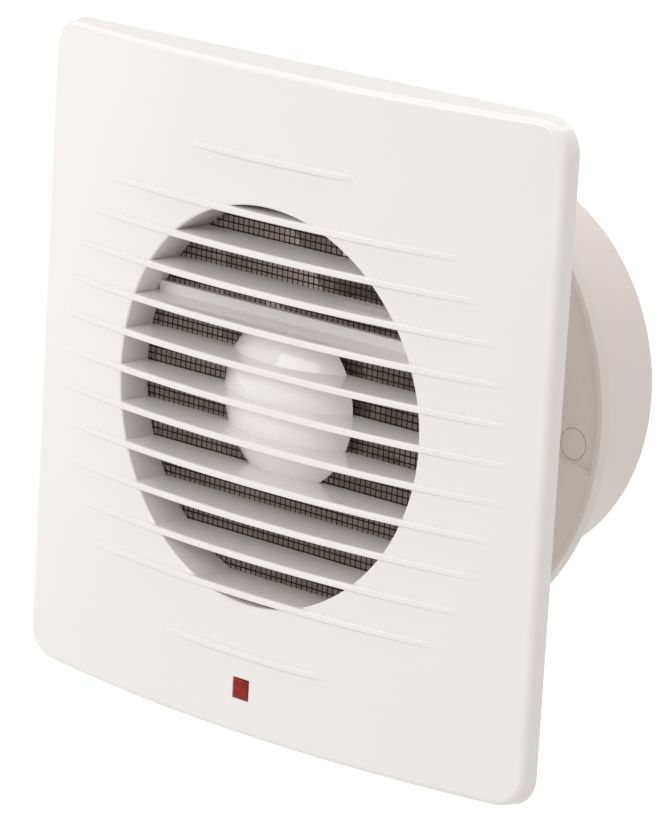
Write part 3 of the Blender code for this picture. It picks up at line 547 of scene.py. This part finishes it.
def makeFrontCover():
    shell = coverBlank("frontCover", 0.0, 0.0, cover["edgeRadius"])
    cutFrom(shell, coverBlank("coverHollow", cover["wall"], 0.003, cover["hollowRadius"]))
    bore = rod("boreWall", 0, 0, cover["openingRadius"] + cover["boreWall"], cover["boreFront"],
               cover["boreEnd"], steps=cover["openingSteps"])
    boreTrim = coverBlank("boreTrim", cover["boreInset"], 0.003, cover["hollowRadius"])
    shapeWith(bore, boreTrim, "INTERSECT")
    addTo(shell, bore)
    cutFrom(shell, openingCutter())
    ribs = []
    for height in ribHeights():
        half = math.sqrt(cover["ribCircle"] ** 2 - height ** 2)
        if height in cover["shortRibs"]:
            half = cover["shortHalf"]
        ribs.append(makeRib(height, half))
    addTo(shell, joinPieces("ribs", ribs))
    print("ribs and blades joined")

    low = cover["barRow"] * cover["ribPitch"]
    high = low + cover["barHeight"]
    half = math.sqrt(cover["openingRadius"] ** 2 - high ** 2) + cover["barBite"]
    addTo(shell, block("bladeBar", (-half, cover["barFront"], low), (half, cover["barBack"], high),
                       cover["barRadius"], 3))
    addTo(shell, makeDome())
    for x in (-cover["pegX"], cover["pegX"]):
        for z in (-cover["pegZ"], cover["pegZ"]):
            front = 0.001 - coverDepth(x)  # 1 mm into the face from its outside
            addTo(shell, rod("peg", x, z, cover["pegRadius"], front, cover["pegEnd"],
                             cover["pegTip"]))
    half, middle = cover["windowHalf"], cover["windowHeight"]
    cutFrom(shell, block("lensWindow", (-half, cover["windowFront"], middle - half),
                         (half, cover["windowBack"], middle + half)))
    return shell


dome = {"radius": 0.0203, "base": -0.0020, "apex": -0.0104, "wall": 0.0016,
        "steps": 96, "arcSteps": 24}


def domeArc(radius, apex):
    rise = dome["base"] - apex
    sphere = (radius ** 2 + rise ** 2) / (2 * rise)
    widest = math.asin(radius / sphere)
    return [(sphere * math.sin(turn), apex + sphere * (1 - math.cos(turn)))
            for turn in spread(0, widest, dome["arcSteps"])]


def makeDome():
    outside = domeArc(dome["radius"], dome["apex"])
    inside = domeArc(dome["radius"] - dome["wall"], dome["apex"] + dome["wall"])
    return turnPiece("dome", outside + inside[::-1], dome["steps"], closed=False)


frontCover = makeFrontCover()
handIn(frontCover, whiteAbs, "white_abs", "cover", "front_cover")


lens = {"half": 0.0023, "front": -0.01285, "depth": 0.0028, "rounding": 0.00022,
        "flangeHalf": 0.0034, "flangeFront": -0.0106, "flangeDepth": 0.0010,
        "flangeRounding": 0.00015}


def makeLens():
    middle, half, flange = cover["windowHeight"], lens["half"], lens["flangeHalf"]
    back, flangeBack = lens["front"] + lens["depth"], lens["flangeFront"] + lens["flangeDepth"]
    piece = block("indicatorLens", (-half, lens["front"], middle - half),
                  (half, back, middle + half), lens["rounding"], 3)
    addTo(piece, block("lensFlange", (-flange, lens["flangeFront"], middle - flange),
                       (flange, flangeBack, middle + flange), lens["flangeRounding"], 2))
    return piece


handIn(makeLens(), redAcrylic, "red_lens", "cover", "indicator_lens")


insect = {"radius": 0.0492, "pitch": 0.00163, "wireRadius": 0.00017, "weave": 0.00006,
          "edgeGap": 0.0015}


def makeInsectMesh():
    # plain weave: each wire passes over and under the ones it crosses
    curve = bpy.data.curves.new("insectMesh", "CURVE")
    curve.dimensions = "3D"
    curve.bevel_depth = insect["wireRadius"]
    curve.bevel_resolution = 0
    pitch, count = insect["pitch"], int(insect["radius"] / insect["pitch"])
    for upright in (True, False):
        for row in range(-count, count + 1):
            offset = (row + 0.5) * pitch
            if abs(offset) > insect["radius"] - insect["edgeGap"]:
                continue
            reach = math.sqrt(insect["radius"] ** 2 - offset ** 2)
            last = int(reach / pitch)
            points = []
            for cross in range(-last, last + 1):
                along = (cross + 0.5) * pitch
                if abs(along) > reach:
                    continue
                side = insect["weave"] * (1 if (row + cross + upright) % 2 else -1)
                points.append((offset, side, along) if upright else (along, side, offset))
            ends = [(offset, 0, end) if upright else (end, 0, offset) for end in (-reach, reach)]
            points = ends[:1] + points + ends[1:]
            spline = curve.splines.new("POLY")
            spline.points.add(len(points) - 1)
            for spot, place in zip(spline.points, points):
                spot.co = (*place, 1.0)
    piece = bpy.data.objects.new("insectMesh", curve)
    bpy.context.scene.collection.objects.link(piece)
    onlySelect(piece)
    bpy.ops.object.convert(target="MESH")
    return bpy.context.active_object


handIn(makeInsectMesh(), blackWire, "wire_mesh", "cover", "insect_mesh")

# (radius, depth) corners of the L-shaped ring that holds the mesh
meshFrameProfile = [(0.0472, 0.00155), (0.0504, 0.00155), (0.0504, -0.0005), (0.0496, -0.0005),
                    (0.0496, 0.0006), (0.0472, 0.0006)]
meshFrame = turnPiece("meshFrame", meshFrameProfile, 128, 0.00015)
handIn(meshFrame, whiteAbs, "white_abs", "cover", "mesh_frame")


plate = {"halfWidth": 0.0755, "halfHeight": 0.0747, "corner": 0.005, "edge": 0.00025,
         "front": -0.0019, "bore": 0.0529, "through": 0.02, "bite": -0.0009,
         "socketBoss": 0.0036, "socketFront": -0.0034, "socketHole": 0.0022, "socketEdge": 0.0003,
         "clampX": 0.016, "clampScrews": (0.0573, 0.0667), "clampBoss": 0.0022,
         "clampFront": -0.0041, "clampHole": 0.0015, "clampEnd": -0.0015, "clampEdge": 0.0002,
         "restAt": (-0.0025, 0.0025), "restHalf": 0.0009, "restFront": -0.0037,
         "restBottom": -0.0695, "restTop": -0.0655, "restBack": -0.0010,
         "entry": (0.026, 0.062), "entryRadius": 0.0045,
         "slotAt": 0.0640, "slotHalf": 0.0045, "slotRadius": 0.00225}
leadWay = ((-0.0034, -0.0040, 0.0455), (0.0034, 0.0065, 0.0540))  # low and high corners


def makeWallPlate():
    p = plate
    farFront = -0.0060  # clear of every boss, for the holes drilled from the front
    piece = block("wallPlate", (-p["halfWidth"], p["front"], -p["halfHeight"]),
                  (p["halfWidth"], 0, p["halfHeight"]))
    bevelEdges(piece, lambda a, b: abs(a.y - b.y) > 0.001, p["corner"], 8)
    bevelEdges(piece, lambda a, b: abs(a.y - b.y) < 0.0001, p["edge"], 2)
    for x in (-cover["pegX"], cover["pegX"]):
        for z in (-cover["pegZ"], cover["pegZ"]):
            addTo(piece, rod("socketBoss", x, z, p["socketBoss"], p["socketFront"], p["bite"],
                             p["socketEdge"]))
            cutFrom(piece, rod("socketHole", x, z, p["socketHole"], farFront, 0.0020))
    for z in p["clampScrews"]:
        addTo(piece, rod("clampBoss", p["clampX"], z, p["clampBoss"], p["clampFront"], p["bite"],
                         p["clampEdge"]))
        cutFrom(piece, rod("clampHole", p["clampX"], z, p["clampHole"], farFront, p["clampEnd"]))
    for x in p["restAt"]:
        addTo(piece, block("lampRest", (x - p["restHalf"], p["restFront"], p["restBottom"]),
                           (x + p["restHalf"], p["restBack"], p["restTop"]), p["clampEdge"], 2))
    cutFrom(piece, rod("bore", 0, 0, p["bore"], -p["through"], p["through"], steps=128),
            rod("entry", *p["entry"], p["entryRadius"], -p["through"], p["through"]))
    for x in (-p["slotAt"], p["slotAt"]):
        for z in (-p["slotAt"], p["slotAt"]):
            slot = rod("slot", x, z, p["slotRadius"], -p["through"], p["through"])
            stretch = p["slotHalf"] - p["slotRadius"]
            for vertex in slot.data.vertices:
                vertex.co.z += stretch if vertex.co.z > z else -stretch
            cutFrom(piece, slot)
    cutFrom(piece, block("leadNotch", *leadWay))
    return piece


handIn(makeWallPlate(), bodyAbsPaintedShade, "body_abs", "body", "wall_plate")

duct = {"tube": 0.0485, "inner": 0.0467, "end": 0.0724, "edge": 0.0004,
        "recess": 0.0510, "recessOuter": 0.0526, "recessFront": -0.0026,
        "floor": 0.0022, "floorBack": 0.0036,
        "cup": 0.0270, "cupInner": 0.0252, "cupFront": 0.0280, "cupEnd": 0.0580, "cupEdge": 0.0005,
        "vanes": 5, "vaneHalf": 0.0009, "vaneFront": 0.034, "vaneBack": 0.054, "vaneNose": 0.00055,
        "vaneBite": (0.0008, 0.0009), "screwAt": 0.0120, "bossRadius": 0.0032,
        "bossSpan": (0.029, 0.0350), "holeRadius": 0.0018, "holeSpan": (0.0300, 0.0380),
        "leadHoles": ((-0.0034, -0.0012), (0.0012, 0.0034)), "leadHoleDepth": (0.0488, 0.0512),
        "leadHoleHeight": (0.0240, 0.0290)}
# (radius, depth) corners of the cup's section: skirt, front wall, bearing seat, stator ledge
cupProfile = [(duct["cupInner"], duct["cupEnd"]), (duct["cup"], duct["cupEnd"]),
              (duct["cup"], duct["cupFront"]), (0.0041, duct["cupFront"]), (0.0041, 0.0334),
              (0.0065, 0.0334), (0.0065, 0.0298), (0.0212, 0.0298), (0.0212, 0.0357),
              (0.0252, 0.0357)]
# (radius, depth) points of the cap's section, from its crowned back round the rim to the inside
capProfile = [(0.0, 0.0632), (0.0070, 0.06308), (0.0130, 0.0628), (0.0185, 0.0622),
              (0.0230, 0.0613), (0.0270, 0.0596), (0.0270, 0.0583), (0.0249, 0.0583),
              (0.0249, 0.0555), (0.0233, 0.0555), (0.0233, 0.0592), (0.0130, 0.0610), (0.0, 0.0614)]


def makeFanBody():
    d = duct
    tubeProfile = [(d["inner"], d["end"]), (d["tube"], d["end"]), (d["tube"], d["floorBack"]),
                   (d["recessOuter"], d["floorBack"]), (d["recessOuter"], d["recessFront"]),
                   (d["recess"], d["recessFront"]), (d["recess"], d["floor"]),
                   (d["inner"], d["floor"])]
    body = turnPiece("fanBody", tubeProfile, 128, d["edge"])
    addTo(body, turnPiece("motorCup", cupProfile, 96, d["cupEdge"]))
    cupBite, tubeBite = d["vaneBite"]
    vane = block("vane", (d["cup"] - cupBite, d["vaneFront"], -d["vaneHalf"]),
                 (d["inner"] + tubeBite, d["vaneBack"], d["vaneHalf"]))
    bevelEdges(vane, lambda a, b: abs(a.y - b.y) < 0.001 and abs(a.x - b.x) > 0.005,
               d["vaneNose"], 4)
    for copy in turnedCopies(vane, [90 + 360 * i / d["vanes"] for i in range(d["vanes"])]):
        addTo(body, copy)
    for side in (-1, 1):
        place = side * d["screwAt"]
        addTo(body, rod("motorBoss", place, place, d["bossRadius"], *d["bossSpan"], 0.0003))
        cutFrom(body, rod("motorHole", place, place, d["holeRadius"], *d["holeSpan"]))
    cutFrom(body, block("leadNotch", *leadWay))
    for left, right in d["leadHoles"]:
        low, high = zip((left, right), d["leadHoleDepth"], d["leadHoleHeight"])
        cutFrom(body, block("leadHole", low, high))
    return body


handIn(makeFanBody(), bodyAbsPaintedShade, "body_abs", "body", "fan_body")

motorCap = turnPiece("motorCap", capProfile, 96, 0.0006, closed=False)
handIn(motorCap, bodyAbsPaintedShade, "body_abs", "body", "motor_cap")


ring = {"radius": 0.0625, "front": 0.0363, "floor": 0.0379, "back": 0.0396, "lip": 0.0016,
        "bore": 0.0490, "collar": 0.0506, "collarEnd": 0.0470, "edge": 0.00035,
        "padStarts": (-70.3, 49.7, 169.7), "padSpan": 60, "padProud": 0.0012, "padRoot": 0.0005,
        "padInner": 0.0494, "padOuter": 0.0611, "padSteps": 24,
        "markRadius": 0.00375, "markAt": 0.0535, "markTurn": 5.3, "markGroove": 0.00014,
        "markDepth": 0.00030, "footWidth": 0.0006, "footDepth": 0.0011, "grooveFront": 0.001,
        "slits": 6, "firstSlit": 30, "slitHalf": 0.0008, "slitFront": 0.0412, "slitBack": 0.049}


def makePad(start):
    # a raised sector of the ring's floor: a plane spun through its span
    r = ring
    low, high = r["padInner"], r["padOuter"]
    front, back = r["floor"] - r["padProud"], r["floor"] + r["padRoot"]
    clearSelection()
    bpy.ops.mesh.primitive_plane_add(size=1, location=((low + high) / 2, (front + back) / 2, 0))
    bpy.context.active_object.scale = (high - low, back - front, 1)
    pad = newPiece("pad")
    pad.data.transform(Matrix.Rotation(math.radians(-start), 4, "Y"))
    startEdit(pad)
    bpy.ops.mesh.select_all(action="SELECT")
    bpy.ops.mesh.spin(steps=r["padSteps"], angle=math.radians(r["padSpan"]), center=(0, 0, 0),
                      axis=(0, 1, 0))
    bpy.ops.mesh.select_all(action="DESELECT")
    mesh = bmesh.from_edit_mesh(pad.data)
    mesh.verts.ensure_lookup_table()
    for i in range(4):  # the plane's own corners, where the spin leaves the pad open
        mesh.verts[i].select = True
    mesh.select_flush(True)
    bmesh.update_edit_mesh(pad.data)
    bpy.ops.mesh.edge_face_add()
    bpy.ops.mesh.select_all(action="SELECT")
    bpy.ops.mesh.normals_make_consistent(inside=False)
    endEdit()
    return pad


def makeClampRing():
    r = ring
    lip = r["radius"] - r["lip"]
    profile = [(lip, r["front"]), (lip, r["floor"]), (r["bore"], r["floor"]),
               (r["bore"], r["collarEnd"]), (r["collar"], r["collarEnd"]), (r["collar"], r["back"]),
               (r["radius"], r["back"]), (r["radius"], r["front"])]
    piece = turnPiece("clampRing", profile, 128, r["edge"])
    for start in r["padStarts"]:
        addTo(piece, makePad(start))
    top = r["floor"] - r["grooveFront"]
    # a fine groove runs along the foot of each pad's step
    foot = block("foot", (r["bore"] + 0.0008, top, 0.0),
                 (r["padOuter"] - 0.0006, r["floor"] + r["footDepth"], r["footWidth"]))
    for copy in turnedCopies(foot, [start + r["padSpan"] for start in r["padStarts"]]):
        cutFrom(piece, copy)
    # and a round mould mark is sunk just beyond it
    inner, outer = r["markRadius"] - r["markGroove"], r["markRadius"] + r["markGroove"]
    bottom = r["floor"] + r["markDepth"]
    markProfile = [(inner, top), (outer, top), (outer, bottom), (inner, bottom)]
    for start in r["padStarts"]:
        angle = math.radians(start + r["padSpan"] + r["markTurn"])
        place = (r["markAt"] * math.cos(angle), r["markAt"] * math.sin(angle))
        cutFrom(piece, turnPiece("mouldMark", markProfile, 48, centre=place))
    slit = block("slit", (r["bore"] - 0.002, r["slitFront"], -r["slitHalf"]),
                 (r["collar"] + 0.001, r["slitBack"], r["slitHalf"]))
    angles = [r["firstSlit"] + 360 * i / r["slits"] for i in range(r["slits"])]
    for copy in turnedCopies(slit, angles):
        cutFrom(piece, copy)
    return piece


handIn(makeClampRing(), ringAbsPaintedShade, "white_abs", "ring", "clamp_ring")


wheel = {"hub": 0.0215, "wall": 0.0017, "front": 0.0050, "back": 0.0260, "bore": 0.00158,
         "shoulder": 0.0070, "chamfer": 0.0020, "faceBack": 0.0068, "sleeve": 0.0045,
         "sleeveEnd": 0.0220, "edge": 0.0004,
         "tip": 0.0436, "blades": 7, "middle": 0.0155, "spans": 10, "chords": 14,
         "thickness": 0.0015, "bladeEdge": 0.0004, "rootBite": 0.0009, "camber": 0.0012,
         "sweep": (38, 2), "rise": (0.0170, 0.0050)}


def bladePoint(share, along):
    # share runs from root to tip, and along runs from -0.5 to 0.5 across the blade
    w = wheel
    root = w["hub"] - w["rootBite"]
    radius = root + (w["tip"] - root) * share
    turn = math.radians((w["sweep"][0] + w["sweep"][1] * share) * along)
    camber = w["camber"] * (1 - 4 * along ** 2)
    depth = w["middle"] + (w["rise"][0] - w["rise"][1] * share) * along + camber
    return (radius * math.cos(turn), depth, radius * math.sin(turn))


def makeBlade():
    # a flat grid bent to the blade's twist, then given its thickness and soft edges
    w = wheel
    clearSelection()
    bpy.ops.mesh.primitive_grid_add(x_subdivisions=w["spans"], y_subdivisions=w["chords"],
                                    size=1)
    blade = newPiece("blade")
    mesh = startEdit(blade)
    for vertex in mesh.verts:
        vertex.co = bladePoint(vertex.co.x + 0.5, vertex.co.y)
    bmesh.update_edit_mesh(blade.data)
    endEdit()
    bpy.ops.object.modifier_add(type="SOLIDIFY")
    blade.modifiers[-1].thickness = w["thickness"]
    blade.modifiers[-1].offset = 0.0
    bpy.ops.object.modifier_apply(modifier=blade.modifiers[-1].name)
    tidyMesh(blade)
    onlySelect(blade)
    bpy.ops.object.modifier_add(type="BEVEL")
    blade.modifiers[-1].width = w["bladeEdge"]
    blade.modifiers[-1].segments = 2
    blade.modifiers[-1].limit_method = "ANGLE"
    blade.modifiers[-1].angle_limit = math.radians(50)
    bpy.ops.object.modifier_apply(modifier=blade.modifiers[-1].name)
    return blade


def makeImpeller():
    w = wheel
    inside = w["hub"] - w["wall"]
    profile = [(inside, w["back"]), (w["hub"], w["back"]), (w["hub"], w["shoulder"]),
               (w["hub"] - w["chamfer"], w["front"]), (w["bore"], w["front"]),
               (w["bore"], w["sleeveEnd"]), (w["sleeve"], w["sleeveEnd"]),
               (w["sleeve"], w["faceBack"]), (inside, w["faceBack"])]
    hub = turnPiece("fanWheel", profile, 96, w["edge"])
    for copy in turnedCopies(makeBlade(), [360 * i / w["blades"] for i in range(w["blades"])]):
        addTo(hub, copy)
    return hub


handIn(makeImpeller(), greyAbs, "grey_abs", "fan_wheel", "impeller")


# the CAD nodes that keep their shape, each with its real finish
keptFinishes = {
    "stator_core": electricalSteel, "rotor_core": electricalSteel, "motor_shaft": groundSteel,
    "impeller_clip": zincSteel, "bearing_bracket": zincSteel, "bracket_screw_1": zincSteel,
    "bracket_screw_2": zincSteel, "terminal_screw_1": zincSteel, "terminal_screw_2": zincSteel,
    "clamp_screw_1": zincSteel, "clamp_screw_2": zincSteel, "front_bearing": sinteredBronze,
    "rear_bearing": sinteredBronze, "terminal_block": nylon, "cable_clamp": nylon,
    "cable_grommet": rubber, "motor_lead_live": brownPvc, "lamp_lead_live": brownPvc,
    "motor_lead_neutral": bluePvc, "lamp_lead_neutral": bluePvc, "neon_lamp": lampGlass,
    "stator_coil_1": copperWinding, "stator_coil_2": copperWinding, "stator_coil_3": copperWinding,
    "stator_coil_4": copperWinding,
}
for nodeName, finish in keptFinishes.items():
    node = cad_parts[nodeName]
    for materialSlot in node.material_slots:
        materialSlot.material = finish
    if not node.material_slots:
        node.data.materials.append(finish)
print("kept nodes finished")


# the camera looks from azimuth degrees to the right of the front; its roll is in degrees too,
# its lens in millimetres, and aimRight and aimUp move the point it looks at, in metres
view = {"azimuth": 42.13, "elevation": 13.58, "distance": 1.1437, "lens": 213.8, "roll": 3.31,
        "aimRight": 0.00817, "aimUp": -0.0033, "sensor": 36, "clip": (0.01, 50)}


def placeCamera():
    azimuth, elevation = math.radians(view["azimuth"]), math.radians(view["elevation"])
    level = math.cos(elevation)
    back = Vector((math.sin(azimuth) * level, -math.cos(azimuth) * level, math.sin(elevation)))
    roll = Matrix.Rotation(math.radians(view["roll"]), 3, "Z")
    turned = (-back).to_track_quat("-Z", "Y").to_matrix() @ roll
    place = back * view["distance"]
    target = turned.col[0] * view["aimRight"] + turned.col[1] * view["aimUp"]
    aimed = (target - place).normalized().to_track_quat("-Z", "Y").to_matrix() @ roll
    clearSelection()
    bpy.ops.object.camera_add(location=place)
    camera = bpy.context.active_object
    camera.rotation_euler = aimed.to_euler()
    camera.data.lens = view["lens"]
    camera.data.sensor_width = view["sensor"]
    camera.data.clip_start, camera.data.clip_end = view["clip"]
    bpy.context.scene.camera = camera


# powers are in watts; the floor glows more the further it lies behind the fan
studio = {
    "floorHeight": -0.30, "floorSize": 12.0, "floorColour": "#A8A6A4",
    "glowColour": "#FFFDFC", "floorGlow": (0.38, 0.90), "glowAcross": (0.15, 0.55), "glowTurn": 42,
    "worldColour": "#FFFCFA", "worldStrength": 0.65,
    "keyPlace": (-0.21, -0.85, 0.47), "keyDistance": 1.5, "keySize": (1.2, 0.7), "keyPower": 7.4,
    "keyTint": (0.93, 0.97, 1.0),
    "topPlace": (0.0, 0.10, 1.0), "topDistance": 1.2, "topSize": (1.0, 1.0), "topPower": 5.0,
    "topTint": (1.0, 0.99, 0.98),
}


def placeFloor():
    clearSelection()
    bpy.ops.mesh.primitive_plane_add(size=studio["floorSize"],
                                     location=(0, 0, studio["floorHeight"]))
    floor = newPiece("studioFloor")
    material, tree, place = startMaterial("paleStudioFloor")
    # the far side of the floor glows with painted light, as a lit studio sweep would look, and the
    # near side is plain
    turned = addNode(tree, "Mapping", links={"Vector": place},
                     values={"Rotation": (0, 0, math.radians(-studio["glowTurn"]))})
    across = addNode(tree, "SeparateXYZ", links={"Vector": turned.outputs[0]}).outputs["Y"]
    glow = ranged(tree, across, *studio["floorGlow"], *studio["glowAcross"])
    shader = addNode(tree, "BsdfPrincipled", links={"Emission Strength": glow},
                     values={"Base Color": linearColour(studio["floorColour"]), "Roughness": 0.9,
                             "Emission Color": linearColour(studio["glowColour"])})
    endMaterial(tree, shader)
    floor.data.materials.append(material)


def placeLights():
    world = bpy.data.worlds.new("studioAir")
    bpy.context.scene.world = world
    world.use_nodes = True
    air = world.node_tree.nodes["Background"]
    air.inputs["Color"].default_value = linearColour(studio["worldColour"])
    air.inputs["Strength"].default_value = studio["worldStrength"]
    for name in ("key", "top"):
        direction = Vector(studio[name + "Place"]).normalized()
        clearSelection()
        bpy.ops.object.light_add(type="AREA", location=direction * studio[name + "Distance"])
        light = bpy.context.active_object
        light.name = name + "Softbox"
        light.rotation_euler = (-direction).to_track_quat("-Z", "Y").to_euler()
        light.data.shape = "RECTANGLE"
        light.data.size, light.data.size_y = studio[name + "Size"]
        light.data.energy = studio[name + "Power"]
        light.data.color = studio[name + "Tint"]


placeCamera()
placeFloor()
placeLights()
bpy.context.scene.view_settings.view_transform = "Standard"
print("camera, floor and light placed")

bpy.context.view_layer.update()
clearSelection()
